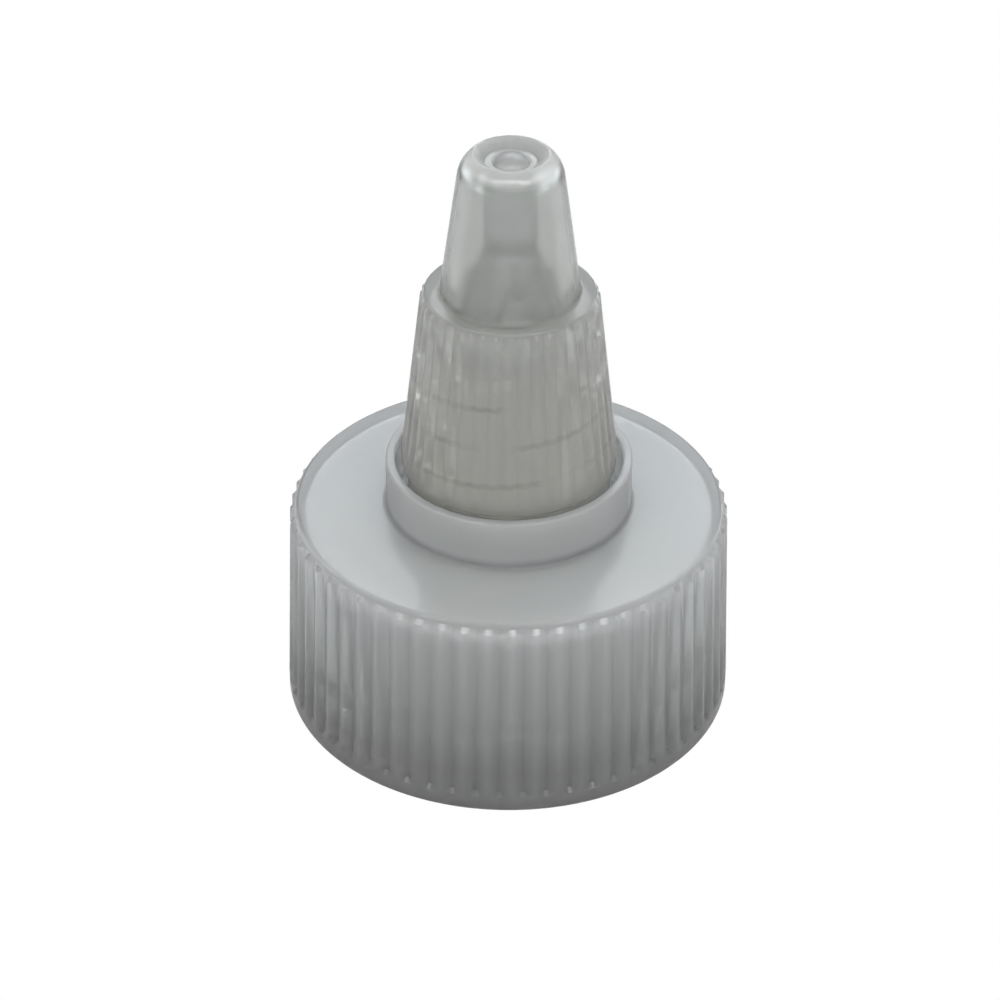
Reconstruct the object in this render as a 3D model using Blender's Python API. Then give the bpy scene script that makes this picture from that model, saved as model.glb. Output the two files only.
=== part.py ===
"""Twist-open dispensing closure for a 28-400 bottle neck.

The closure base is one moulding: a ribbed skirt with the neck thread inside it, a flat deck, a
collar ring, and a threaded post that ends in four legs and a sealing pin. A soft liner sits
under the deck. The spout screws up and down on the post, and its outlet lifts off the pin. The
spout is stored as two nodes, its ribbed grip and its nozzle, which meet at the shoulder.

Metres, +Z up, origin at the centre of the bottom rim.
"""
import math

import bmesh
import bpy

MM = 0.001
GAP = 0.3 * MM

# Closure base: skirt and deck
SKIRT_RADIUS = 15.5 * MM
SKIRT_TOP_RADIUS = 15.05 * MM
SKIRT_HEIGHT = 15.05 * MM
SKIRT_BORE_RADIUS = 13.95 * MM
SKIRT_RIB_COUNT = 60
SKIRT_RIB_DEPTH = 0.42 * MM
BAND_HEIGHT = 1.2 * MM
TOP_EDGE_HEIGHT = 0.4 * MM
TOP_EDGE_WIDTH = 0.35 * MM
DECK_THICKNESS = 1.2 * MM
RIM_CHAMFER = 0.3 * MM
RIB_END_SLOPE = 0.3 * MM

# Neck thread, 6 turns to the inch
NECK_PITCH = 25.4 / 6 * MM
NECK_TURNS = 1.25
NECK_CREST_RADIUS = 12.75 * MM
NECK_THREAD_START = 2.6 * MM
NECK_BASE_WIDTH = 1.9 * MM
NECK_CREST_WIDTH = 0.7 * MM

# Collar ring round the foot of the spout
COLLAR_RADIUS = 8.42 * MM
COLLAR_BORE_RADIUS = 7.75 * MM
COLLAR_TOP = 18.6 * MM
COLLAR_EDGE = 0.15 * MM

# Post, legs and sealing pin
POST_RADIUS = 4.4 * MM
POST_BORE_RADIUS = 3.4 * MM
POST_TOP = 28.9 * MM
LEG_FOOT_RADIUS = 4.05 * MM
LEG_FOOT_HEIGHT = 29.4 * MM
LEG_TOP_HEIGHT = 35.0 * MM
LEG_BORE_TOP_RADIUS = 1.0 * MM
LEG_BORE_TOP = 34.2 * MM
PIN_ROOT_RADIUS = 1.85 * MM
PIN_RADIUS = 1.75 * MM
PIN_SHANK_TOP = 39.6 * MM
PLUG_RADIUS = 1.15 * MM
PLUG_START = 40.3 * MM
PLUG_EDGE = 40.85 * MM
PLUG_TOP = 41.7 * MM
PLUG_END_ANGLE = math.radians(75)
WINDOW_COUNT = 4
WINDOW_TURN = math.radians(-82)
WINDOW_BOTTOM = 29.9 * MM
WINDOW_TOP = 33.6 * MM
WINDOW_WIDTH = 3.3 * MM
WINDOW_START = 0.35 * MM

# Spout screw thread on the post and inside the grip
SCREW_LEAD = 2.8 * MM
SCREW_RIDGE_HEIGHT = 0.5 * MM
SCREW_BASE_WIDTH = 1.05 * MM
SCREW_CREST_WIDTH = 0.6 * MM
POST_THREAD_START = 18.5 * MM
POST_THREAD_TURNS = 3.25
GRIP_THREAD_START = POST_THREAD_START + 1.5 * SCREW_LEAD
GRIP_THREAD_TURNS = 2.25

# Spout grip
GRIP_BOTTOM = SKIRT_HEIGHT + 0.35 * MM
GRIP_TOP = 30.75 * MM
GRIP_BORE_RADIUS = POST_RADIUS + SCREW_RIDGE_HEIGHT + GAP
GRIP_RIB_COUNT = 42
GRIP_RIB_DEPTH = 0.3 * MM
GRIP_RIB_BOTTOM = 19.05 * MM
GRIP_RIB_TOP = 30.35 * MM
GRIP_FOOT_RADIUS = 7.33 * MM
GRIP_HEAD_RADIUS = 6.06 * MM
SKIRTING_RADIUS = 6.95 * MM
SKIRTING_TOP = 18.5 * MM
SHOULDER_RADIUS = GRIP_HEAD_RADIUS - GRIP_RIB_DEPTH

# Spout nozzle
NOZZLE_BOTTOM = GRIP_TOP + GAP
SHOULDER_HEIGHT = 31.6 * MM
SHOULDER_CHAMFER = 0.25 * MM
NOZZLE_FOOT_RADIUS = 4.7 * MM
NOZZLE_WALL = 1.15 * MM
TIP_START = 40.17 * MM
TIP_START_RADIUS = 3.515 * MM
TIP_CENTRE = (1.24 * MM, 39.85 * MM)
TIP_ROUND = 2.3 * MM
TIP_START_ANGLE = math.radians(16)
TIP_END_ANGLE = math.radians(57)
DISH_RADIUS = 1.75 * MM
DISH_HEIGHT = 41.2 * MM
OUTLET_RADIUS = PLUG_RADIUS + GAP
OUTLET_BOTTOM = 40.6 * MM

# Turning stop: a rib inside the collar and a lug on the spout's foot
STOP_ANGLE = math.radians(-77.5)
STOP_WIDTH = 0.55 * MM
STOP_RADIUS = 7.25 * MM
LUG_SPAN = math.radians(12)
LUG_RADIUS = 7.45 * MM
LUG_HEIGHT = 2.2 * MM
LUG_ANGLE = STOP_ANGLE + math.radians(10.6)

# Liner
LINER_RADIUS = SKIRT_BORE_RADIUS - GAP
LINER_FACE_RADIUS = NECK_CREST_RADIUS - 0.15 * MM
LINER_BEVEL_HEIGHT = 0.5 * MM
LINER_HOLE_RADIUS = 4.2 * MM
LINER_THICKNESS = 1.3 * MM
LINER_TOP = SKIRT_HEIGHT - DECK_THICKNESS - GAP

# Fineness of the faceted surfaces
SKIRT_POINTS = 2 * SKIRT_RIB_COUNT
GRIP_POINTS = 2 * GRIP_RIB_COUNT
GRIP_BORE_POINTS = GRIP_RIB_COUNT
COLLAR_POINTS = 60
NOZZLE_POINTS = 48
POST_POINTS = 30
ROUND_STEPS = 4
PLUG_STEPS = 3
THREAD_STEPS = 24
THREAD_ANGLE = math.radians(4)
THREAD_ROOT_DEPTH = 0.2 * MM
SHARP_ANGLE = math.radians(30)


def material(name, colour, roughness):
    """A moulded plastic with one colour and one roughness."""
    made = bpy.data.materials.new(name)
    made.use_nodes = True
    shader = made.node_tree.nodes["Principled BSDF"]
    shader.inputs["Base Color"].default_value = (*colour, 1.0)
    shader.inputs["Roughness"].default_value = roughness
    shader.inputs["Metallic"].default_value = 0.0
    return made


def finish_object(name, mesh, finish):
    """Turns a bmesh into a smooth-shaded object with its faces pointing out."""
    bmesh.ops.recalc_face_normals(mesh, faces=mesh.faces)
    data = bpy.data.meshes.new(name)
    mesh.to_mesh(data)
    mesh.free()
    data.shade_smooth()
    data.set_sharp_from_angle(angle=SHARP_ANGLE)
    made = bpy.data.objects.new(name, data)
    bpy.context.scene.collection.objects.link(made)
    if finish:
        data.materials.append(finish)
    return made


def add_ring(mesh, points, radius, height, root=None):
    """A ring of vertices; with root given, every second one lies at that smaller radius."""
    ring = []
    for index in range(points):
        angle = math.tau * index / points
        reach = root if root is not None and index % 2 else radius
        ring.append(mesh.verts.new((reach * math.cos(angle), reach * math.sin(angle), height)))
    return ring


def stretch(ring, step, steps):
    """The part of a ring between two of its equal steps, both ends included."""
    count = len(ring) // steps
    return [ring[(step * count + index) % len(ring)] for index in range(count + 1)]


def join_rings(mesh, first, second):
    """Faces between two rings, one of which may have a whole multiple of the other's points."""
    steps = min(len(first), len(second))
    for step in range(steps):
        mesh.faces.new(stretch(first, step, steps) + stretch(second, step, steps)[::-1])


def turned(name, outline, finish, closed):
    """A body turned about Z from an outline of (points, radius, height) or (..., height, root).

    A closed outline makes a tube; an open one is capped at both ends.
    """
    mesh = bmesh.new()
    rings = [add_ring(mesh, *corner) for corner in outline]
    for first, second in zip(rings, rings[1:]):
        join_rings(mesh, first, second)
    if closed:
        join_rings(mesh, rings[-1], rings[0])
    else:
        mesh.faces.new(rings[0])
        mesh.faces.new(rings[-1])
    return finish_object(name, mesh, finish)


def rounding(points, centre, width, height, start, end, steps=ROUND_STEPS):
    """Corners of an elliptical round from one angle to another, about a centre (radius, height)."""
    corners = []
    for step in range(steps + 1):
        angle = start + (end - start) * step / steps
        radius = centre[0] + width * math.cos(angle)
        corners.append((points, radius, centre[1] + height * math.sin(angle)))
    return corners


def thread_ridge(name, wall, crest, start, turns, lead, base_width, crest_width):
    """A right-hand helical ridge from a wall radius to a crest radius, rooted a little in the wall."""
    root = wall + math.copysign(THREAD_ROOT_DEPTH, wall - crest)
    flank = (base_width - crest_width) / 2 / abs(crest - wall)
    root_half = base_width / 2 + flank * THREAD_ROOT_DEPTH
    crest_half = crest_width / 2
    section = ((root, -root_half), (crest, -crest_half), (crest, crest_half), (root, root_half))
    mesh = bmesh.new()
    steps = round(turns * THREAD_STEPS)
    rows = []
    for step in range(steps + 1):
        turn = math.tau * step / THREAD_STEPS
        middle = start + lead * step / THREAD_STEPS
        cosine = math.cos(THREAD_ANGLE + turn)
        sine = math.sin(THREAD_ANGLE + turn)
        rows.append([mesh.verts.new((r * cosine, r * sine, middle + z)) for r, z in section])
    for first, second in zip(rows, rows[1:]):
        join_rings(mesh, first, second)
    mesh.faces.new(rows[0])
    mesh.faces.new(rows[-1])
    return finish_object(name, mesh, None)


def sector_block(name, inner, outer, middle, span, bottom, top):
    """A block between two radii over a small angle, used as a stop."""
    mesh = bmesh.new()
    half = span / 2
    rows = []
    for height in (bottom, top):
        corners = [
            (radius, middle + side) for radius, side in
            ((inner, -half), (outer, -half), (outer, 0), (outer, half), (inner, half), (inner, 0))
        ]
        rows.append([mesh.verts.new((r * math.cos(a), r * math.sin(a), height)) for r, a in corners])
    join_rings(mesh, rows[0], rows[1])
    mesh.faces.new(rows[0])
    mesh.faces.new(rows[1])
    return finish_object(name, mesh, None)


def window_cutter(name, angle):
    """A triangular prism that points outwards from the axis and cuts one flow window."""
    mesh = bmesh.new()
    across = (-math.sin(angle), math.cos(angle))
    rows = []
    for reach in (WINDOW_START, POST_RADIUS + SCREW_LEAD):
        middle = (reach * math.cos(angle), reach * math.sin(angle))
        corners = ((-WINDOW_WIDTH / 2, WINDOW_BOTTOM), (WINDOW_WIDTH / 2, WINDOW_BOTTOM),
                   (0.0, WINDOW_TOP))
        rows.append([
            mesh.verts.new((middle[0] + side * across[0], middle[1] + side * across[1], height))
            for side, height in corners
        ])
    join_rings(mesh, rows[0], rows[1])
    mesh.faces.new(rows[0])
    mesh.faces.new(rows[1])
    return finish_object(name, mesh, None)


def combine(body, tool, operation):
    """Adds a Boolean of a hidden tool object to a body."""
    tool.hide_render = True
    tool.display_type = "WIRE"
    boolean = body.modifiers.new(tool.name, "BOOLEAN")
    boolean.operation = operation
    boolean.solver = "EXACT"
    boolean.object = tool


def make_closure_base(finish):
    """Skirt, deck, collar, post, legs and pin as one moulding."""
    deck_bottom = SKIRT_HEIGHT - DECK_THICKNESS
    rib_top = SKIRT_HEIGHT - TOP_EDGE_HEIGHT - RIB_END_SLOPE
    top_root = SKIRT_TOP_RADIUS - SKIRT_RIB_DEPTH
    band_root = SKIRT_RADIUS - SKIRT_RIB_DEPTH
    edge_centre = (top_root - TOP_EDGE_WIDTH, SKIRT_HEIGHT - TOP_EDGE_HEIGHT)
    outline = [
        (POST_POINTS, LEG_BORE_TOP_RADIUS, LEG_BORE_TOP),
        (POST_POINTS, POST_BORE_RADIUS, POST_TOP),
        (POST_POINTS, POST_BORE_RADIUS, deck_bottom),
        (SKIRT_POINTS, SKIRT_BORE_RADIUS, deck_bottom),
        (SKIRT_POINTS, SKIRT_BORE_RADIUS, RIM_CHAMFER),
        (SKIRT_POINTS, SKIRT_BORE_RADIUS + RIM_CHAMFER, 0.0),
        (SKIRT_POINTS, SKIRT_RADIUS - RIM_CHAMFER, 0.0),
        (SKIRT_POINTS, SKIRT_RADIUS, RIM_CHAMFER),
        (SKIRT_POINTS, SKIRT_RADIUS, BAND_HEIGHT),
        (SKIRT_POINTS, SKIRT_RADIUS, BAND_HEIGHT + RIB_END_SLOPE, band_root),
        (SKIRT_POINTS, SKIRT_TOP_RADIUS, rib_top, top_root),
        *rounding(SKIRT_POINTS, edge_centre, TOP_EDGE_WIDTH, TOP_EDGE_HEIGHT, 0, math.pi / 2),
        (COLLAR_POINTS, COLLAR_RADIUS + GAP, SKIRT_HEIGHT),
        (COLLAR_POINTS, COLLAR_RADIUS, SKIRT_HEIGHT + GAP),
        (COLLAR_POINTS, COLLAR_RADIUS, COLLAR_TOP - COLLAR_EDGE),
        (COLLAR_POINTS, COLLAR_RADIUS - COLLAR_EDGE, COLLAR_TOP),
        (COLLAR_POINTS, COLLAR_BORE_RADIUS + COLLAR_EDGE, COLLAR_TOP),
        (COLLAR_POINTS, COLLAR_BORE_RADIUS, COLLAR_TOP - COLLAR_EDGE),
        (COLLAR_POINTS, COLLAR_BORE_RADIUS, SKIRT_HEIGHT),
        (POST_POINTS, POST_RADIUS, SKIRT_HEIGHT),
        (POST_POINTS, POST_RADIUS, POST_TOP),
        (POST_POINTS, LEG_FOOT_RADIUS, LEG_FOOT_HEIGHT),
        (POST_POINTS, PIN_ROOT_RADIUS, LEG_TOP_HEIGHT),
        (POST_POINTS, PIN_RADIUS, LEG_TOP_HEIGHT + GAP),
        (POST_POINTS, PIN_RADIUS, PIN_SHANK_TOP),
        (POST_POINTS, PLUG_RADIUS, PLUG_START),
        *rounding(POST_POINTS, (0.0, PLUG_EDGE), PLUG_RADIUS, PLUG_TOP - PLUG_EDGE,
                  0, PLUG_END_ANGLE, PLUG_STEPS),
    ]
    base = turned("closure_base", outline, finish, closed=False)
    neck_thread = thread_ridge(
        "neck_thread_tool", SKIRT_BORE_RADIUS, NECK_CREST_RADIUS, NECK_THREAD_START, NECK_TURNS,
        NECK_PITCH, NECK_BASE_WIDTH, NECK_CREST_WIDTH)
    post_thread = thread_ridge(
        "post_thread_tool", POST_RADIUS, POST_RADIUS + SCREW_RIDGE_HEIGHT, POST_THREAD_START,
        POST_THREAD_TURNS, SCREW_LEAD, SCREW_BASE_WIDTH, SCREW_CREST_WIDTH)
    stop_rib = sector_block(
        "stop_rib_tool", STOP_RADIUS, COLLAR_BORE_RADIUS + GAP, STOP_ANGLE,
        STOP_WIDTH / STOP_RADIUS, SKIRT_HEIGHT - GAP, COLLAR_TOP - COLLAR_EDGE - GAP)
    for tool in (neck_thread, post_thread, stop_rib):
        combine(base, tool, "UNION")
    for index in range(WINDOW_COUNT):
        angle = WINDOW_TURN + math.tau * index / WINDOW_COUNT
        combine(base, window_cutter(f"window_tool_{index + 1}", angle), "DIFFERENCE")
    return base


def make_neck_liner(finish):
    """Soft disc with a central hole and a bevelled edge, which seals on the bottle's mouth."""
    bottom = LINER_TOP - LINER_THICKNESS
    outline = [
        (COLLAR_POINTS, LINER_HOLE_RADIUS, bottom),
        (COLLAR_POINTS, LINER_FACE_RADIUS, bottom),
        (COLLAR_POINTS, LINER_RADIUS, bottom + LINER_BEVEL_HEIGHT),
        (COLLAR_POINTS, LINER_RADIUS, LINER_TOP),
        (COLLAR_POINTS, LINER_HOLE_RADIUS, LINER_TOP),
    ]
    return turned("neck_liner", outline, finish, closed=True)


def make_spout_grip(finish):
    """Lower half of the spout: ribbed cone, plain foot inside the collar, thread and lug."""
    foot_root = GRIP_FOOT_RADIUS - GRIP_RIB_DEPTH
    head_root = GRIP_HEAD_RADIUS - GRIP_RIB_DEPTH
    outline = [
        (GRIP_BORE_POINTS, GRIP_BORE_RADIUS + RIM_CHAMFER, GRIP_BOTTOM),
        (GRIP_POINTS, SKIRTING_RADIUS - RIM_CHAMFER, GRIP_BOTTOM),
        (GRIP_POINTS, SKIRTING_RADIUS, GRIP_BOTTOM + RIM_CHAMFER),
        (GRIP_POINTS, SKIRTING_RADIUS, SKIRTING_TOP - RIM_CHAMFER),
        (GRIP_POINTS, GRIP_FOOT_RADIUS, SKIRTING_TOP),
        (GRIP_POINTS, GRIP_FOOT_RADIUS, GRIP_RIB_BOTTOM),
        (GRIP_POINTS, GRIP_FOOT_RADIUS, GRIP_RIB_BOTTOM + RIB_END_SLOPE, foot_root),
        (GRIP_POINTS, GRIP_HEAD_RADIUS, GRIP_RIB_TOP, head_root),
        (GRIP_POINTS, SHOULDER_RADIUS, GRIP_RIB_TOP + RIB_END_SLOPE),
        (GRIP_POINTS, SHOULDER_RADIUS, GRIP_TOP),
        (GRIP_BORE_POINTS, GRIP_BORE_RADIUS, GRIP_TOP),
        (GRIP_BORE_POINTS, GRIP_BORE_RADIUS, GRIP_BOTTOM + RIM_CHAMFER),
    ]
    grip = turned("spout_grip", outline, finish, closed=True)
    thread = thread_ridge(
        "grip_thread_tool", GRIP_BORE_RADIUS, GRIP_BORE_RADIUS - SCREW_RIDGE_HEIGHT,
        GRIP_THREAD_START, GRIP_THREAD_TURNS, SCREW_LEAD, SCREW_BASE_WIDTH, SCREW_CREST_WIDTH)
    lug = sector_block(
        "lug_tool", SKIRTING_RADIUS - RIM_CHAMFER, LUG_RADIUS, LUG_ANGLE, LUG_SPAN,
        GRIP_BOTTOM + RIM_CHAMFER, GRIP_BOTTOM + LUG_HEIGHT)
    combine(grip, thread, "UNION")
    combine(grip, lug, "UNION")
    return grip


def make_spout_nozzle(finish):
    """Upper half of the spout: shoulder, nozzle cone and rounded tip with a dished outlet."""
    inner_edge = SHOULDER_RADIUS - NOZZLE_WALL
    inner_foot = NOZZLE_FOOT_RADIUS - NOZZLE_WALL
    inner_head = TIP_START_RADIUS - NOZZLE_WALL
    outline = [
        (NOZZLE_POINTS, inner_edge, NOZZLE_BOTTOM),
        (NOZZLE_POINTS, SHOULDER_RADIUS, NOZZLE_BOTTOM),
        (NOZZLE_POINTS, SHOULDER_RADIUS, SHOULDER_HEIGHT - SHOULDER_CHAMFER),
        (NOZZLE_POINTS, SHOULDER_RADIUS - SHOULDER_CHAMFER, SHOULDER_HEIGHT),
        (NOZZLE_POINTS, NOZZLE_FOOT_RADIUS, SHOULDER_HEIGHT),
        (NOZZLE_POINTS, TIP_START_RADIUS, TIP_START),
        *rounding(NOZZLE_POINTS, TIP_CENTRE, TIP_ROUND, TIP_ROUND, TIP_START_ANGLE, TIP_END_ANGLE),
        (NOZZLE_POINTS, DISH_RADIUS, DISH_HEIGHT),
        (NOZZLE_POINTS, OUTLET_RADIUS, DISH_HEIGHT),
        (NOZZLE_POINTS, OUTLET_RADIUS, OUTLET_BOTTOM),
        (NOZZLE_POINTS, inner_head, TIP_START - GAP),
        (NOZZLE_POINTS, inner_foot, SHOULDER_HEIGHT),
    ]
    return turned("spout_nozzle", outline, finish, closed=True)


def main():
    for old in list(bpy.data.objects):
        bpy.data.objects.remove(old, do_unlink=True)
    polypropylene = material("milky_polypropylene", (0.60, 0.63, 0.64), 0.38)
    polyethylene = material("clear_polyethylene", (0.52, 0.54, 0.50), 0.22)
    foam = material("liner_foam", (0.86, 0.86, 0.84), 0.75)
    make_closure_base(polypropylene)
    make_neck_liner(foam)
    make_spout_grip(polyethylene)
    make_spout_nozzle(polyethylene)


main()
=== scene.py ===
import math

import bmesh
import bpy
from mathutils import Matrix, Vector


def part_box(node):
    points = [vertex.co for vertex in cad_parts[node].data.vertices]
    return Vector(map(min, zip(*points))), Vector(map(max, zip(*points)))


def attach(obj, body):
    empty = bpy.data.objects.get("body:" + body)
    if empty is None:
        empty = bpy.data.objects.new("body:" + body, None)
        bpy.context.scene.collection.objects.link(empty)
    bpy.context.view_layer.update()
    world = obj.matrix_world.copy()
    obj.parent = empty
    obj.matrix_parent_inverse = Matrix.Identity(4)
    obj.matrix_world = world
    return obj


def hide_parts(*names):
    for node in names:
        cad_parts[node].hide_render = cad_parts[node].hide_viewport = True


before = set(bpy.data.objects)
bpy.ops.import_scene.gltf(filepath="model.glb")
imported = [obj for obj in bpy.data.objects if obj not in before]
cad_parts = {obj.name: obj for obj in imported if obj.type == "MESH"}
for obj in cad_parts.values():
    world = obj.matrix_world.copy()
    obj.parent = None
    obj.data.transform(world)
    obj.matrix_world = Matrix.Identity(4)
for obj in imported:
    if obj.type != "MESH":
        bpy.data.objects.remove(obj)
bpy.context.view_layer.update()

MM = 0.001

# Places read from the frame
BASE_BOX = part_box("closure_base")
LINER_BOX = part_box("neck_liner")
GRIP_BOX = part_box("spout_grip")
SKIRT_RADIUS = BASE_BOX[1][0]
PIN_TOP = BASE_BOX[1][2]
LINER_BOTTOM = LINER_BOX[0][2]
LINER_TOP = LINER_BOX[1][2]
LINER_RADIUS = LINER_BOX[1][0]
SPOUT_BOTTOM = GRIP_BOX[0][2]

# Skirt and deck
RIB_COUNT = 60
RIB_TOP_RADIUS = SKIRT_RADIUS - 0.45 * MM
RIB_DEPTH = 0.32 * MM
RIB_SOFTNESS = 0.16
RIB_PHASE = 0.317
BAND_HEIGHT = 1.2 * MM
DECK_HEIGHT = 15.05 * MM
EDGE_HEIGHT = 0.4 * MM
EDGE_WIDTH = 0.35 * MM
RIB_END_SLOPE = 0.3 * MM
DECK_BOTTOM = DECK_HEIGHT - 1.2 * MM
BORE_RADIUS = 13.95 * MM
BORE_CHAMFER = 0.3 * MM

# Collar
COLLAR_RADIUS = 8.42 * MM
COLLAR_BORE = 7.75 * MM
COLLAR_TOP = 18.6 * MM
COLLAR_ROUND = 0.16 * MM
COLLAR_FILLET = 0.3 * MM
STOP_ANGLE = math.radians(-77.5)
STOP_HALF_WIDTH = math.radians(2.1)
STOP_DEPTH = 0.5 * MM
STOP_TOP = COLLAR_TOP - 0.5 * MM
STOP_BOTTOM = DECK_HEIGHT + 0.1 * MM
STOP_SLOPE = 0.2 * MM
BUMP_EDGE = math.radians(0.9)

# Post, legs and pin
POST_RADIUS = 4.4 * MM
POST_BORE = 3.4 * MM
POST_TOP = 28.9 * MM
LEG_FOOT_RADIUS = 4.05 * MM
LEG_FOOT_HEIGHT = 29.4 * MM
LEG_TOP_HEIGHT = 35.0 * MM
LEG_BORE_RADIUS = 1.0 * MM
LEG_BORE_TOP = 34.2 * MM
LEG_BLEND_MIDDLE = LEG_TOP_HEIGHT + 0.2 * MM
LEG_BLEND_TOP = LEG_TOP_HEIGHT + 0.6 * MM
PIN_ROOT_RADIUS = 1.85 * MM
PIN_RADIUS = 1.75 * MM
PIN_SHANK_TOP = 39.6 * MM
PLUG_RADIUS = 1.22 * MM
PLUG_START = 40.3 * MM
PLUG_EDGE = 40.85 * MM
WINDOW_COUNT = 4
WINDOW_TURN = math.radians(-82)
WINDOW_BOTTOM = 29.9 * MM
WINDOW_TOP = 33.6 * MM
WINDOW_WIDTH = 3.3 * MM
CUTTER_START = 0.35 * MM
CUTTER_END = 1.6 * POST_RADIUS

# Screw threads
SCREW = {"start": 18.5 * MM, "turns": 3.25, "lead": 2.8 * MM, "base": 1.05 * MM, "crest": 0.6 * MM,
         "height": 0.5 * MM}
NUT = {**SCREW, "start": SCREW["start"] + 1.5 * SCREW["lead"], "turns": 2.25}
NECK = {"start": 2.6 * MM, "turns": 1.25, "lead": 25.4 / 6 * MM, "base": 1.9 * MM, "crest": 0.7 * MM,
        "height": 1.2 * MM}
THREAD_ANGLE = math.radians(4)
THREAD_FADE = 0.07
THREAD_ROWS = 16
NECK_THREAD_TOP = NECK["start"] + 7 * MM
NECK_THREAD_BOTTOM = 1 * MM
POST_THREAD_BOTTOM = DECK_HEIGHT + 1 * MM
NUT_THREAD_TOP = 29.9 * MM
NUT_THREAD_BOTTOM = SPOUT_BOTTOM + 1 * MM

# Spout
SPOUT_RIB_COUNT = 42
SPOUT_RIB_DEPTH = 0.15 * MM
SPOUT_RIB_SOFTNESS = 0.45
SPOUT_RIB_BOTTOM = 19.05 * MM
SPOUT_RIB_TOP = 31.15 * MM
SPOUT_FOOT_RADIUS = 7.33 * MM
SPOUT_HEAD_RADIUS = 5.98 * MM
SPOUT_BORE = POST_RADIUS + SCREW["height"] + 0.3 * MM
SKIRTING_RADIUS = 6.95 * MM
SKIRTING_TOP = 18.5 * MM
SKIRTING_FLARE = 0.35 * MM
FOOT_EDGE_WIDTH = 0.1 * MM
FOOT_EDGE_HEIGHT = 0.05 * MM
SHOULDER_RADIUS = SPOUT_HEAD_RADIUS - 0.22 * MM
SHOULDER_HEIGHT = 31.6 * MM
SHOULDER_ROUND = 0.18 * MM
NOZZLE_FOOT_RADIUS = 4.7 * MM
NOZZLE_FILLET = 0.25 * MM
NOZZLE_WALL = 1.15 * MM
NOZZLE_START_INSET = 0.04 * MM
NOZZLE_BORE_BOTTOM = SHOULDER_HEIGHT - 0.1 * MM
TIP_START = 40.17 * MM
TIP_START_RADIUS = 3.515 * MM
TIP_CENTRE = (1.24 * MM, 39.85 * MM)
TIP_ROUND = 2.3 * MM
TIP_LIP = 0.12 * MM
DISH_RADIUS = 1.75 * MM
DISH_HEIGHT = 41.2 * MM
OUTLET_RADIUS = PLUG_RADIUS + 0.06 * MM
OUTLET_BOTTOM = 40.65 * MM
RIM_ANGLE = math.radians(55)
SPOUT_CHAMFER = 0.3 * MM
BORE_TOP = 30.1 * MM
LUG_ANGLE = STOP_ANGLE + math.radians(10.6)
LUG_HALF_SPAN = math.radians(6)
LUG_DEPTH = 0.5 * MM
LUG_TOP = SPOUT_BOTTOM + 2.2 * MM
LUG_SLOPE = 0.1 * MM

# Liner
LINER_HOLE = 4.2 * MM
LINER_FACE_RADIUS = 12.6 * MM
LINER_STEP = 0.5 * MM
LINER_ROUND = 0.12 * MM

# Points round each surface
RIB_POINTS = 12 * RIB_COUNT
SKIRT_POINTS = RIB_POINTS // 4
COLLAR_POINTS = 2 * SKIRT_POINTS
POST_POINTS = 120
SPOUT_RIB_POINTS = 12 * SPOUT_RIB_COUNT
SPOUT_POINTS = SPOUT_RIB_POINTS // 4
ARC_STEPS = 6
WALL_STEPS = 8
SHARP_ANGLE = math.radians(32)

# Camera
CAMERA_ELEVATION = math.radians(33.0)
CAMERA_DISTANCE = 220 * MM
CAMERA_TARGET = Vector((0.0, 0.0, 20 * MM))
CAMERA_AIM = Vector((-0.6 * MM, 0.0, 14.9 * MM))
CAMERA_ROLL = math.radians(0.3)
CAMERA_LENS = 116.6
CAMERA_SENSOR = 36.0
CAMERA_CLIP_START = 0.01

# Stage
FLOOR_TONE = (0.7, 0.7, 0.7)
FLOOR_SIZE = 1.5
FLOOR_GAP = 0.02 * MM
WORLD_STRENGTH = 0.55
LIGHT_DISTANCE = 0.4
FRONT_STRIP_SIZE = (0.5, 0.05)
SIDE_STRIP_SIZE = (0.42, 0.09)
BACK_PANEL_SIZE = (0.34, 0.22)
WHITE = (1.0, 1.0, 1.0)
COOL_WHITE = (0.88, 0.95, 1.0)

# Looks of the plastics: tones are (height, colour), hazes are (start, end, share of transmission)
# The milky tone by height is painted shade: darker toward the skirt's foot, lighter at the deck
MILKY_PAINTED_SHADE_LOW = (3 * MM, (0.44, 0.45, 0.44))
MILKY_PAINTED_SHADE_HIGH = (15 * MM, (0.9, 0.92, 0.93))
MILKY_TRANSMISSION = 0.73
MILKY_GRAIN = 0.1
SKIRT_HAZE = (15.2 * MM, 13.8 * MM, 0.92)
COLLAR_HAZE = (15.2 * MM, 15.8 * MM, 0.82)
COLLAR_HAZE_END = (18.6 * MM, 19.2 * MM, 1.22)
PIN_HAZE = (29 * MM, 30 * MM, 0.82)
CLEAR_LOW = (18 * MM, (0.88, 0.875, 0.81))
CLEAR_HIGH = (36 * MM, (0.79, 0.805, 0.785))
CLEAR_TRANSMISSION = 0.865
CLEAR_GRAIN = 0.06
GRIP_HAZE = (31.8 * MM, 30.2 * MM, 0.88)
TIP_HAZE = (40.7 * MM, 41.3 * MM, 0.65)
PLASTIC_ROUGHNESS = 0.155
PLASTIC_IOR = 1.5
SCATTER_DEPTH = 4 * MM
FLOW_SCALE = 160.0
FLOW_SHADE = 0.94
GLOSS_SCALE = 420.0
GLOSS_RANGE = (0.85, 1.2)
GRAIN_SCALE = 2600.0
GRAIN_DEPTH = 0.02 * MM

# Look of the painted shade line where the post's thread shows through the spout wall: rise is above the
# ridge's middle, gaps are noise values
LINE_RISE = 0.15 * MM
LINE_WIDTH = 0.32 * MM
LINE_SHADE = 0.76
LINE_TOP = 27 * MM
LINE_FADE = 2 * MM
LINE_GAPS = (0.42, 0.62)
LINE_GAP_SCALE = 260.0

# Look of the liner
FOAM_COLOUR = (0.82, 0.82, 0.80, 1.0)
FOAM_ROUGHNESS = 0.8
FOAM_CELL_SCALE = 2200.0
FOAM_CELL_DEPTH = 0.05 * MM


# ---- Mesh code ----

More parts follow.
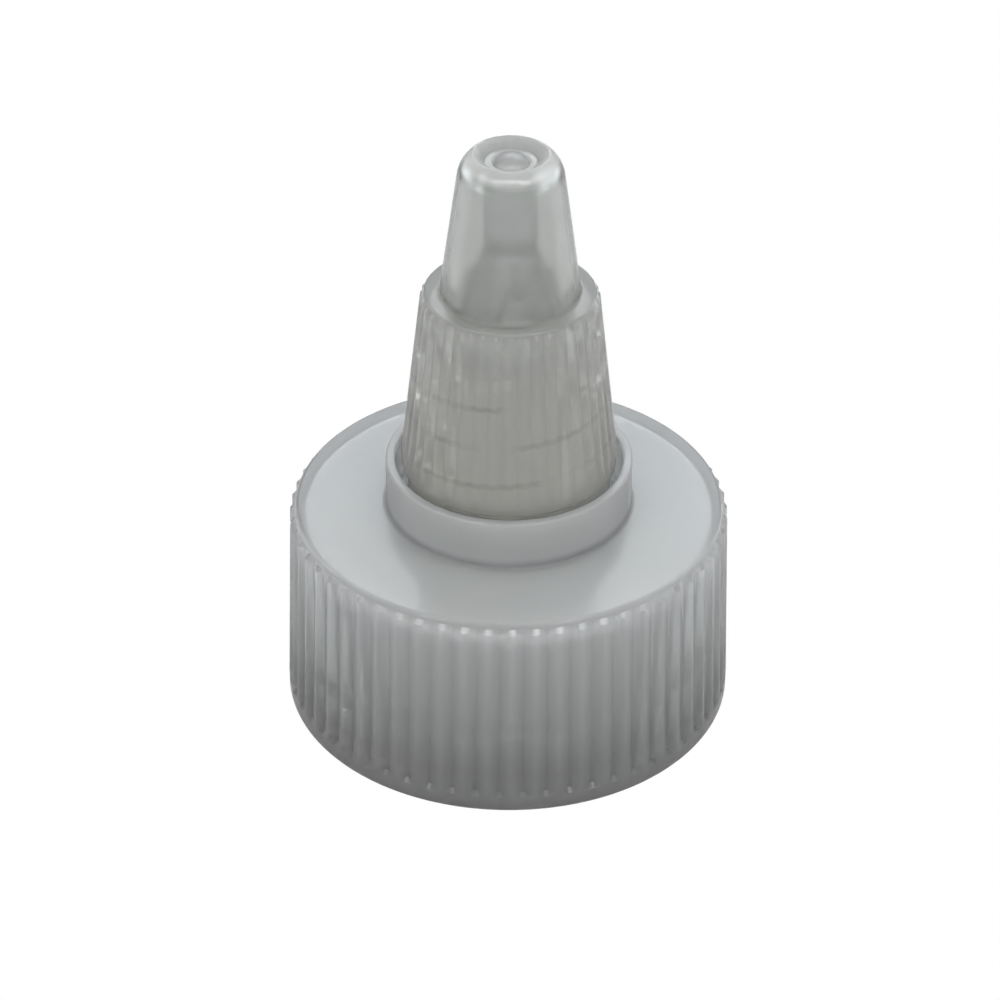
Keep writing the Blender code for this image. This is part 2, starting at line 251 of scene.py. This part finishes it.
def add_ring(mesh, count, radius, height):
    """A ring of vertices; radius is a length or a function of the angle."""
    ring = []
    for index in range(count):
        angle = math.tau * index / count
        reach = radius(angle) if callable(radius) else radius
        ring.append(mesh.verts.new((reach * math.cos(angle), reach * math.sin(angle), height)))
    return ring


def stretch(ring, step, steps):
    """The part of a ring between two of its equal steps, both ends included."""
    count = len(ring) // steps
    return [ring[(step * count + index) % len(ring)] for index in range(count + 1)]


def join_rings(mesh, first, second):
    """Faces between two rings, one of which may have a whole multiple of the other's points."""
    steps = min(len(first), len(second))
    for step in range(steps):
        mesh.faces.new(stretch(first, step, steps) + stretch(second, step, steps)[::-1])


def turned(name, rows, closed):
    """An object turned about Z from rows of (points, radius, height)."""
    mesh = bmesh.new()
    rings = [add_ring(mesh, *row) for row in rows]
    for first, second in zip(rings, rings[1:]):
        join_rings(mesh, first, second)
    if closed:
        join_rings(mesh, rings[-1], rings[0])
    else:
        mesh.faces.new(rings[0])
        mesh.faces.new(rings[-1])
    return finish_mesh(name, mesh)


def finish_mesh(name, mesh):
    """Turns a bmesh into an object with faces out and smooth shading that keeps its edges."""
    bmesh.ops.triangulate(mesh, faces=[face for face in mesh.faces if len(face.verts) > 4])
    bmesh.ops.recalc_face_normals(mesh, faces=mesh.faces)
    data = bpy.data.meshes.new(name)
    mesh.to_mesh(data)
    mesh.free()
    data.shade_smooth()
    data.set_sharp_from_angle(angle=SHARP_ANGLE)
    made = bpy.data.objects.new(name, data)
    bpy.context.scene.collection.objects.link(made)
    return made


def arc(points, centre, width, height, start, end, steps=ARC_STEPS):
    """Rows along an elliptical round from one angle to another, in degrees, about a centre."""
    rows = []
    for step in range(steps + 1):
        angle = math.radians(start + (end - start) * step / steps)
        rows.append((points, centre[0] + width * math.cos(angle), centre[1] + height * math.sin(angle)))
    return rows


def between(start, end, count):
    """Evenly spaced values from start to end, both included."""
    return [start + (end - start) * step / count for step in range(count + 1)]


def smooth_step(value):
    """Rises smoothly from 0 to 1 as the value does."""
    value = min(max(value, 0.0), 1.0)
    return value * value * (3 - 2 * value)


def ribbed(tip, depth, count, phase, softness):
    """Radius of a ring of triangular ribs with slightly rounded tips, as a function of angle."""
    full = math.hypot(1.0, softness) - softness

    def radius(angle):
        across = abs((angle / math.tau * count + phase) % 1.0 - 0.5) * 2
        return tip - depth * (math.hypot(across, softness) - softness) / full
    return radius


def bumped(wall, height, middle, half_width):
    """Radius of a round wall with one raised rib; a negative height points inwards."""
    def radius(angle):
        away = abs((angle - middle + math.pi) % math.tau - math.pi)
        return wall + height * smooth_step((half_width + BUMP_EDGE - away) / BUMP_EDGE)
    return radius


def threaded(wall, height, thread, sign):
    """Radius at one height of a round wall with a right-hand helical ridge, out or in by sign."""
    slope = (thread["base"] - thread["crest"]) / 2

    def radius(angle):
        turn = ((angle - THREAD_ANGLE) % math.tau) / math.tau
        turns = round((height - thread["start"]) / thread["lead"] - turn) + turn
        away = abs(height - thread["start"] - turns * thread["lead"])
        rise = smooth_step((thread["base"] / 2 - away) / slope)
        ends = min(turns, thread["turns"] - turns) / THREAD_FADE
        return wall + sign * thread["height"] * rise * smooth_step(ends)
    return radius


def threaded_rows(points, wall, thread, sign, start, end):
    """Rows of a threaded wall from one height to another, close enough to carry the ridge."""
    count = math.ceil(abs(end - start) / thread["lead"] * THREAD_ROWS)
    return [(points, threaded(wall, height, thread, sign), height) for height in between(start, end, count)]


def window_cutter(angle):
    """A triangular prism that points outwards from the axis and cuts one flow window."""
    mesh = bmesh.new()
    corners = ((-WINDOW_WIDTH / 2, WINDOW_BOTTOM), (WINDOW_WIDTH / 2, WINDOW_BOTTOM), (0.0, WINDOW_TOP))
    rows = []
    for reach in (CUTTER_START, CUTTER_END):
        rows.append([
            mesh.verts.new((reach * math.cos(angle) - side * math.sin(angle),
                            reach * math.sin(angle) + side * math.cos(angle), height))
            for side, height in corners
        ])
    join_rings(mesh, rows[0], rows[1])
    mesh.faces.new(rows[0])
    mesh.faces.new(rows[1])
    return finish_mesh("window_cutter", mesh)


def cut(body, cutter):
    """Cuts a tool out of a body for good and removes the tool."""
    boolean = body.modifiers.new("cut", "BOOLEAN")
    boolean.operation = "DIFFERENCE"
    boolean.solver = "EXACT"
    boolean.object = cutter
    with bpy.context.temp_override(object=body, active_object=body):
        bpy.ops.object.modifier_apply(modifier=boolean.name)
    bpy.data.objects.remove(cutter, do_unlink=True)


# ---- Pieces ----

def make_base():
    """Ribbed skirt, deck, collar, threaded post, legs and pin: one moulding."""
    rib_top = DECK_HEIGHT - EDGE_HEIGHT - RIB_END_SLOPE
    root_top = RIB_TOP_RADIUS - RIB_DEPTH
    leg_rise = LEG_TOP_HEIGHT - LEG_FOOT_HEIGHT
    rows = [
        (POST_POINTS, LEG_BORE_RADIUS, LEG_BORE_TOP),
        (POST_POINTS, POST_BORE, POST_TOP),
        (POST_POINTS, POST_BORE, DECK_BOTTOM + COLLAR_FILLET),
        *arc(POST_POINTS, (POST_BORE + COLLAR_FILLET, DECK_BOTTOM + COLLAR_FILLET),
             COLLAR_FILLET, COLLAR_FILLET, 190, 270),
    ]
    rows += arc(COLLAR_POINTS, (BORE_RADIUS - COLLAR_FILLET, DECK_BOTTOM - COLLAR_FILLET),
                COLLAR_FILLET, COLLAR_FILLET, 90, 0)
    rows += threaded_rows(COLLAR_POINTS, BORE_RADIUS, NECK, -1, NECK_THREAD_TOP, NECK_THREAD_BOTTOM)
    rows += [
        (SKIRT_POINTS, BORE_RADIUS, BORE_CHAMFER),
        (SKIRT_POINTS, BORE_RADIUS + BORE_CHAMFER, 0.0),
    ]
    rows += arc(SKIRT_POINTS, (SKIRT_RADIUS - BORE_CHAMFER, BORE_CHAMFER), BORE_CHAMFER, BORE_CHAMFER,
                -90, 0)
    rows += [(RIB_POINTS, SKIRT_RADIUS, BAND_HEIGHT)]
    for share in between(0.0, 1.0, WALL_STEPS):
        tip = SKIRT_RADIUS + (RIB_TOP_RADIUS - SKIRT_RADIUS) * share
        height = BAND_HEIGHT + RIB_END_SLOPE + (rib_top - BAND_HEIGHT - RIB_END_SLOPE) * share
        rows.append((RIB_POINTS, ribbed(tip, RIB_DEPTH, RIB_COUNT, RIB_PHASE, RIB_SOFTNESS), height))
    rows += [(RIB_POINTS, root_top, rib_top + RIB_END_SLOPE)]
    rows += arc(SKIRT_POINTS, (root_top - EDGE_WIDTH, DECK_HEIGHT - EDGE_HEIGHT), EDGE_WIDTH, EDGE_HEIGHT,
                12, 90, 8)
    rows += arc(COLLAR_POINTS, (COLLAR_RADIUS + COLLAR_FILLET, DECK_HEIGHT + COLLAR_FILLET),
                COLLAR_FILLET, COLLAR_FILLET, 270, 180)
    rows += arc(COLLAR_POINTS, (COLLAR_RADIUS - COLLAR_ROUND, COLLAR_TOP - COLLAR_ROUND),
                COLLAR_ROUND, COLLAR_ROUND, 0, 90, 4)
    rows += arc(COLLAR_POINTS, (COLLAR_BORE + COLLAR_ROUND, COLLAR_TOP - COLLAR_ROUND),
                COLLAR_ROUND, COLLAR_ROUND, 90, 180, 4)
    stop = bumped(COLLAR_BORE, -STOP_DEPTH, STOP_ANGLE, STOP_HALF_WIDTH)
    rows += [
        (COLLAR_POINTS, COLLAR_BORE, STOP_TOP + STOP_SLOPE),
        (COLLAR_POINTS, stop, STOP_TOP),
        (COLLAR_POINTS, stop, STOP_BOTTOM),
        (COLLAR_POINTS, COLLAR_BORE - STOP_DEPTH, DECK_HEIGHT),
    ]
    rows += arc(POST_POINTS, (POST_RADIUS + COLLAR_FILLET, DECK_HEIGHT + COLLAR_FILLET),
                COLLAR_FILLET, COLLAR_FILLET, 270, 180)
    rows += threaded_rows(POST_POINTS, POST_RADIUS, SCREW, 1, POST_THREAD_BOTTOM, POST_TOP)
    rows += arc(POST_POINTS, (LEG_FOOT_RADIUS, POST_TOP), POST_RADIUS - LEG_FOOT_RADIUS,
                LEG_FOOT_HEIGHT - POST_TOP, 10, 90)
    for share in between(0.1, 1.0, 9):
        radius = LEG_FOOT_RADIUS + (PIN_ROOT_RADIUS - LEG_FOOT_RADIUS) * share
        rows.append((POST_POINTS, radius, LEG_FOOT_HEIGHT + leg_rise * share))
    rows += [
        (POST_POINTS, (PIN_ROOT_RADIUS + PIN_RADIUS) / 2, LEG_BLEND_MIDDLE),
        (POST_POINTS, PIN_RADIUS, LEG_BLEND_TOP),
        (POST_POINTS, PIN_RADIUS, PIN_SHANK_TOP),
        (POST_POINTS, PLUG_RADIUS, PLUG_START),
    ]
    rows += arc(POST_POINTS, (0.0, PLUG_EDGE), PLUG_RADIUS, PIN_TOP - PLUG_EDGE, 0, 84, 8)
    base = turned("closure_base_moulding", rows, closed=False)
    for index in range(WINDOW_COUNT):
        cut(base, window_cutter(WINDOW_TURN + math.tau * index / WINDOW_COUNT))
    base.data.set_sharp_from_angle(angle=SHARP_ANGLE)
    return base


def make_liner():
    """Soft foam disc with softened edges under the deck."""
    soft = LINER_ROUND
    face_bottom = LINER_BOTTOM + soft
    face_top = LINER_TOP - soft
    rows = arc(SKIRT_POINTS, (LINER_HOLE + soft, face_bottom), soft, soft, 180, 270, 3)
    rows += arc(SKIRT_POINTS, (LINER_FACE_RADIUS - soft, face_bottom), soft, soft, -90, -45, 3)
    rows += arc(SKIRT_POINTS, (LINER_RADIUS - soft, LINER_BOTTOM + LINER_STEP + soft), soft, soft, -20, 0, 2)
    rows += arc(SKIRT_POINTS, (LINER_RADIUS - soft, face_top), soft, soft, 0, 90, 3)
    rows += arc(SKIRT_POINTS, (LINER_HOLE + soft, face_top), soft, soft, 90, 180, 3)
    return turned("liner_disc", rows, closed=True)


def make_spout():
    """Foot, ribbed cone, shoulder, nozzle and tip: one moulding, threaded inside."""
    inner_foot = NOZZLE_FOOT_RADIUS - NOZZLE_WALL
    inner_head = TIP_START_RADIUS - NOZZLE_WALL
    fillet_top = SHOULDER_HEIGHT + NOZZLE_FILLET
    nozzle_start = NOZZLE_FOOT_RADIUS - NOZZLE_START_INSET
    rim_radius = TIP_CENTRE[0] + (TIP_ROUND - TIP_LIP) * math.cos(RIM_ANGLE)
    rim_height = TIP_CENTRE[1] + (TIP_ROUND - TIP_LIP) * math.sin(RIM_ANGLE)
    lug = bumped(SKIRTING_RADIUS, LUG_DEPTH, LUG_ANGLE, LUG_HALF_SPAN - BUMP_EDGE)
    rows = [
        (SPOUT_POINTS, SPOUT_BORE + SPOUT_CHAMFER, SPOUT_BOTTOM),
        (SPOUT_RIB_POINTS, SKIRTING_RADIUS - SPOUT_CHAMFER, SPOUT_BOTTOM),
        (SPOUT_RIB_POINTS, SKIRTING_RADIUS, SPOUT_BOTTOM + SPOUT_CHAMFER),
        (SPOUT_RIB_POINTS, lug, SPOUT_BOTTOM + SPOUT_CHAMFER + LUG_SLOPE),
        (SPOUT_RIB_POINTS, lug, LUG_TOP - LUG_SLOPE),
        (SPOUT_RIB_POINTS, SKIRTING_RADIUS, LUG_TOP),
        (SPOUT_RIB_POINTS, SKIRTING_RADIUS, SKIRTING_TOP - SKIRTING_FLARE),
        (SPOUT_RIB_POINTS, SPOUT_FOOT_RADIUS - FOOT_EDGE_WIDTH, SKIRTING_TOP - FOOT_EDGE_HEIGHT),
        (SPOUT_RIB_POINTS, SPOUT_FOOT_RADIUS, SKIRTING_TOP + FOOT_EDGE_HEIGHT),
        (SPOUT_RIB_POINTS, SPOUT_FOOT_RADIUS, SPOUT_RIB_BOTTOM),
    ]
    for share in between(0.0, 1.0, WALL_STEPS):
        tip = SPOUT_FOOT_RADIUS + (SPOUT_HEAD_RADIUS - SPOUT_FOOT_RADIUS) * share
        height = (SPOUT_RIB_BOTTOM + RIB_END_SLOPE
                  + (SPOUT_RIB_TOP - SPOUT_RIB_BOTTOM - RIB_END_SLOPE) * share)
        shape = ribbed(tip, SPOUT_RIB_DEPTH, SPOUT_RIB_COUNT, 0.0, SPOUT_RIB_SOFTNESS)
        rows.append((SPOUT_RIB_POINTS, shape, height))
    rows += [(SPOUT_RIB_POINTS, SHOULDER_RADIUS, SHOULDER_HEIGHT - SHOULDER_ROUND)]
    rows += arc(SPOUT_POINTS, (SHOULDER_RADIUS - SHOULDER_ROUND, SHOULDER_HEIGHT - SHOULDER_ROUND),
                SHOULDER_ROUND, SHOULDER_ROUND, 10, 90, 6)
    rows += arc(SPOUT_POINTS, (nozzle_start + NOZZLE_FILLET, fillet_top), NOZZLE_FILLET, NOZZLE_FILLET,
                270, 188, 6)
    for share in between(0.02, 1.0, WALL_STEPS):
        radius = nozzle_start + (TIP_START_RADIUS - nozzle_start) * share
        rows.append((SPOUT_POINTS, radius, fillet_top + (TIP_START - fillet_top) * share))
    rows += arc(SPOUT_POINTS, TIP_CENTRE, TIP_ROUND, TIP_ROUND, 10, 55, 12)
    rows += arc(SPOUT_POINTS, (rim_radius, rim_height), TIP_LIP, TIP_LIP, 60, 118, 5)
    rows += arc(SPOUT_POINTS, (DISH_RADIUS - TIP_LIP, DISH_HEIGHT + TIP_LIP), TIP_LIP, TIP_LIP,
                -40, -90, 4)
    rows += arc(SPOUT_POINTS, (OUTLET_RADIUS + TIP_LIP / 2, DISH_HEIGHT - TIP_LIP / 2), TIP_LIP / 2,
                TIP_LIP / 2, 90, 180, 4)
    rows += [
        (SPOUT_POINTS, OUTLET_RADIUS, OUTLET_BOTTOM),
        (SPOUT_POINTS, inner_head, TIP_START - SPOUT_CHAMFER),
        (SPOUT_POINTS, inner_foot, NOZZLE_BORE_BOTTOM),
        (SPOUT_POINTS, SPOUT_BORE, BORE_TOP),
    ]
    rows += threaded_rows(SPOUT_POINTS, SPOUT_BORE, NUT, -1, NUT_THREAD_TOP, NUT_THREAD_BOTTOM)
    rows += [(SPOUT_POINTS, SPOUT_BORE, SPOUT_BOTTOM + SPOUT_CHAMFER)]
    return turned("twist_spout", rows, closed=True)


# ---- Materials ----

def node_material(name):
    """A new node material with its Principled shader and its node tree."""
    made = bpy.data.materials.new(name)
    made.use_nodes = True
    tree = made.node_tree
    return made, tree, tree.nodes["Principled BSDF"]


def add_node(tree, kind, **values):
    """A node with its input sockets set by name."""
    node = tree.nodes.new(kind)
    for key, value in values.items():
        node.inputs[key.replace("_", " ")].default_value = value
    return node


def own_node(tree, kind):
    """The first node of a kind in a tree."""
    return next(node for node in tree.nodes if node.type == kind)


def multiplied(tree, colour, shade):
    """One node output multiplied by another, as a colour."""
    mix = tree.nodes.new("ShaderNodeMix")
    mix.data_type = "RGBA"
    mix.blend_type = "MULTIPLY"
    mix.inputs["Factor"].default_value = 1.0
    tree.links.new(colour, mix.inputs["A"])
    tree.links.new(shade, mix.inputs["B"])
    return mix.outputs["Result"]


def plastic(name, low, high, transmission, grain):
    """A translucent moulded plastic whose tone changes between two (height, colour) marks.

    It has faint flow marks in its colour, uneven gloss and a fine surface grain.
    """
    made, tree, shader = node_material(name)
    place = tree.nodes.new("ShaderNodeTexCoord")
    split = tree.nodes.new("ShaderNodeSeparateXYZ")
    # Tone by height; for the milky plastic this is painted shade, darker toward the skirt's foot
    rise = add_node(tree, "ShaderNodeMapRange", From_Min=low[0], From_Max=high[0])
    tone = tree.nodes.new("ShaderNodeMix")
    tone.data_type = "RGBA"
    tone.inputs["A"].default_value = (*low[1], 1.0)
    tone.inputs["B"].default_value = (*high[1], 1.0)
    flow = add_node(tree, "ShaderNodeTexNoise", Scale=FLOW_SCALE, Detail=3.0, Roughness=0.55)
    marks = add_node(tree, "ShaderNodeMapRange", To_Min=FLOW_SHADE, To_Max=1.0)
    gloss = add_node(tree, "ShaderNodeTexNoise", Scale=GLOSS_SCALE, Detail=4.0, Roughness=0.6)
    spread = add_node(tree, "ShaderNodeMapRange", To_Min=PLASTIC_ROUGHNESS * GLOSS_RANGE[0],
                      To_Max=PLASTIC_ROUGHNESS * GLOSS_RANGE[1])
    fine = add_node(tree, "ShaderNodeTexNoise", Scale=GRAIN_SCALE, Detail=2.0, Roughness=0.5)
    bump = add_node(tree, "ShaderNodeBump", Strength=grain, Distance=GRAIN_DEPTH)
    for node in (split, flow, gloss, fine):
        tree.links.new(place.outputs["Object"], node.inputs["Vector"])
    tree.links.new(split.outputs["Z"], rise.inputs["Value"])
    tree.links.new(rise.outputs["Result"], tone.inputs["Factor"])
    tree.links.new(flow.outputs["Fac"], marks.inputs["Value"])
    tint = multiplied(tree, tone.outputs["Result"], marks.outputs["Result"])
    tree.links.new(tint, shader.inputs["Base Color"])
    tree.links.new(gloss.outputs["Fac"], spread.inputs["Value"])
    tree.links.new(spread.outputs["Result"], shader.inputs["Roughness"])
    tree.links.new(fine.outputs["Fac"], bump.inputs["Height"])
    tree.links.new(bump.outputs["Normal"], shader.inputs["Normal"])
    shader.inputs["IOR"].default_value = PLASTIC_IOR
    shader.inputs["Transmission Weight"].default_value = transmission
    shader.inputs["Subsurface Weight"].default_value = 1.0
    shader.inputs["Subsurface Radius"].default_value = (1.0, 1.0, 1.0)
    shader.inputs["Subsurface Scale"].default_value = SCATTER_DEPTH
    return made


def math_node(tree, operation, first, second):
    """A Math node between two values, each a number or another node's output."""
    node = tree.nodes.new("ShaderNodeMath")
    node.operation = operation
    for index, value in enumerate((first, second)):
        if isinstance(value, float):
            node.inputs[index].default_value = value
        else:
            tree.links.new(value, node.inputs[index])
    return node.outputs["Value"]


def haze(made, start, end, share):
    """Takes a plastic's transmission from its full value at one height to a share of it at another.

    Beyond the second height the share stays, so a band takes two calls.
    """
    tree = made.node_tree
    shader = tree.nodes["Principled BSDF"]
    split = own_node(tree, "SEPXYZ")
    socket = shader.inputs["Transmission Weight"]
    before = socket.links[0].from_socket if socket.is_linked else socket.default_value
    fade = add_node(tree, "ShaderNodeMapRange", From_Min=start, From_Max=end, To_Min=1.0, To_Max=share)
    tree.links.new(split.outputs["Z"], fade.inputs["Value"])
    tree.links.new(math_node(tree, "MULTIPLY", before, fade.outputs["Result"]), socket)


def shade_thread(made, thread):
    """Paints shade into a plastic's tone: a fine, broken darker line along the post's ridge behind the wall,
    where the ridge's shaded flank shows through.

    A screw's line keeps its place on both its parts as they turn, so it fits every pose.
    """
    tree = made.node_tree
    shader = tree.nodes["Principled BSDF"]
    colour = shader.inputs["Base Color"].links[0].from_socket
    split = own_node(tree, "SEPXYZ")
    angle = math_node(tree, "ARCTAN2", split.outputs["Y"], split.outputs["X"])
    climb = math_node(tree, "MULTIPLY", angle, thread["lead"] / math.tau)
    start = thread["start"] + LINE_RISE - thread["lead"] * THREAD_ANGLE / math.tau
    height = math_node(tree, "SUBTRACT", split.outputs["Z"], climb)
    away = math_node(tree, "PINGPONG", math_node(tree, "SUBTRACT", height, start), thread["lead"] / 2)
    line = add_node(tree, "ShaderNodeMapRange", From_Max=LINE_WIDTH, To_Min=LINE_SHADE, To_Max=1.0)
    line.interpolation_type = "SMOOTHSTEP"
    top = add_node(tree, "ShaderNodeMapRange", From_Min=LINE_TOP - LINE_FADE, From_Max=LINE_TOP)
    broken = add_node(tree, "ShaderNodeMapRange", From_Min=LINE_GAPS[0], From_Max=LINE_GAPS[1],
                      To_Min=LINE_SHADE, To_Max=1.0)
    patches = add_node(tree, "ShaderNodeTexNoise", Scale=LINE_GAP_SCALE, Detail=2.0, Roughness=0.5)
    tree.links.new(own_node(tree, "TEX_COORD").outputs["Object"], patches.inputs["Vector"])
    tree.links.new(patches.outputs["Fac"], broken.inputs["Value"])
    shade = math_node(tree, "MAXIMUM", line.outputs["Result"], top.outputs["Result"])
    shade = math_node(tree, "MAXIMUM", shade, broken.outputs["Result"])
    tree.links.new(away, line.inputs["Value"])
    tree.links.new(split.outputs["Z"], top.inputs["Value"])
    tree.links.new(multiplied(tree, colour, shade), shader.inputs["Base Color"])


def foam():
    """Matt white closed-cell foam."""
    made, tree, shader = node_material("liner_foam_look")
    cells = add_node(tree, "ShaderNodeTexVoronoi", Scale=FOAM_CELL_SCALE)
    place = tree.nodes.new("ShaderNodeTexCoord")
    bump = add_node(tree, "ShaderNodeBump", Strength=0.35, Distance=FOAM_CELL_DEPTH)
    tree.links.new(place.outputs["Object"], cells.inputs["Vector"])
    tree.links.new(cells.outputs["Distance"], bump.inputs["Height"])
    tree.links.new(bump.outputs["Normal"], shader.inputs["Normal"])
    shader.inputs["Base Color"].default_value = FOAM_COLOUR
    shader.inputs["Roughness"].default_value = FOAM_ROUGHNESS
    return made


# ---- Stage ----

def make_floor():
    """A plain pale floor that looks white and throws only soft light back on the object."""
    mesh = bmesh.new()
    bmesh.ops.create_grid(mesh, x_segments=1, y_segments=1, size=FLOOR_SIZE)
    floor = finish_mesh("floor", mesh)
    floor.location.z = -FLOOR_GAP
    made, tree, shader = node_material("pale_floor")
    shader.inputs["Base Color"].default_value = (*FLOOR_TONE, 1.0)
    shader.inputs["Roughness"].default_value = 0.9
    glow = add_node(tree, "ShaderNodeEmission", Color=(*WHITE, 1.0), Strength=1.0)
    path = tree.nodes.new("ShaderNodeLightPath")
    mix = tree.nodes.new("ShaderNodeMixShader")
    tree.links.new(path.outputs["Is Camera Ray"], mix.inputs["Fac"])
    tree.links.new(shader.outputs["BSDF"], mix.inputs[1])
    tree.links.new(glow.outputs["Emission"], mix.inputs[2])
    tree.links.new(mix.outputs["Shader"], tree.nodes["Material Output"].inputs["Surface"])
    floor.data.materials.append(made)


def area_light(name, azimuth, elevation, size, power, tint):
    """A soft light in a direction from the object, with azimuth 0 on the camera's side."""
    data = bpy.data.lights.new(name, "AREA")
    data.shape = "RECTANGLE"
    data.size, data.size_y = size
    data.energy = power
    data.color = tint
    light = bpy.data.objects.new(name, data)
    turn, rise = math.radians(azimuth), math.radians(elevation)
    away = Vector((math.sin(turn) * math.cos(rise), -math.cos(turn) * math.cos(rise), math.sin(rise)))
    light.location = CAMERA_TARGET + LIGHT_DISTANCE * away
    light.rotation_euler = (-away).to_track_quat("-Z", "Y").to_euler()
    bpy.context.scene.collection.objects.link(light)


def make_world():
    """Even white light from all round."""
    world = bpy.data.worlds.new("studio")
    world.use_nodes = True
    world.node_tree.nodes["Background"].inputs["Color"].default_value = (*WHITE, 1.0)
    world.node_tree.nodes["Background"].inputs["Strength"].default_value = WORLD_STRENGTH
    bpy.context.scene.world = world


def make_camera():
    """The camera at the photograph's height and distance."""
    data = bpy.data.cameras.new("camera")
    data.lens = CAMERA_LENS
    data.sensor_width = CAMERA_SENSOR
    data.clip_start = CAMERA_CLIP_START
    camera = bpy.data.objects.new("camera", data)
    back = Vector((0.0, -math.cos(CAMERA_ELEVATION), math.sin(CAMERA_ELEVATION)))
    camera.location = CAMERA_TARGET + CAMERA_DISTANCE * back
    turn = (CAMERA_AIM - camera.location).to_track_quat("-Z", "Y")
    camera.rotation_euler = turn.to_euler()
    camera.rotation_euler.rotate_axis("Z", CAMERA_ROLL)
    bpy.context.scene.collection.objects.link(camera)
    bpy.context.scene.camera = camera


def place_piece(piece, finish, body, slot, *nodes):
    """Gives a piece its finish and its body, and hides the nodes it stands for."""
    piece.data.materials.clear()
    piece.data.materials.append(finish)
    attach(piece, body)
    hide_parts(*nodes)


# The milky plastic's tone by height is painted shade on the skirt
milky = plastic("milky_polypropylene_look", MILKY_PAINTED_SHADE_LOW, MILKY_PAINTED_SHADE_HIGH, MILKY_TRANSMISSION, MILKY_GRAIN)
clear = plastic("clear_polyethylene_look", CLEAR_LOW, CLEAR_HIGH, CLEAR_TRANSMISSION, CLEAR_GRAIN)
for band in (SKIRT_HAZE, COLLAR_HAZE, COLLAR_HAZE_END, PIN_HAZE):
    haze(milky, *band)
for band in (GRIP_HAZE, TIP_HAZE):
    haze(clear, *band)
# Painted shade: the post's thread ridge as a darker line in the spout's colour
shade_thread(clear, SCREW)
place_piece(make_base(), milky, "base", "milky_polypropylene", "closure_base")
place_piece(make_liner(), foam(), "base", "liner_foam", "neck_liner")
place_piece(make_spout(), clear, "grip", "clear_polyethylene", "spout_grip", "spout_nozzle")

make_floor()
make_world()
area_light("front_light", 0, 52, FRONT_STRIP_SIZE, 0.5, WHITE)
area_light("left_light", -60, 40, SIDE_STRIP_SIZE, 0.27, WHITE)
area_light("right_light", 57, 42, SIDE_STRIP_SIZE, 0.32, WHITE)
area_light("back_light", 170, 38, BACK_PANEL_SIZE, 0.4, COOL_WHITE)
make_camera()
bpy.context.scene.view_settings.view_transform = "Standard"
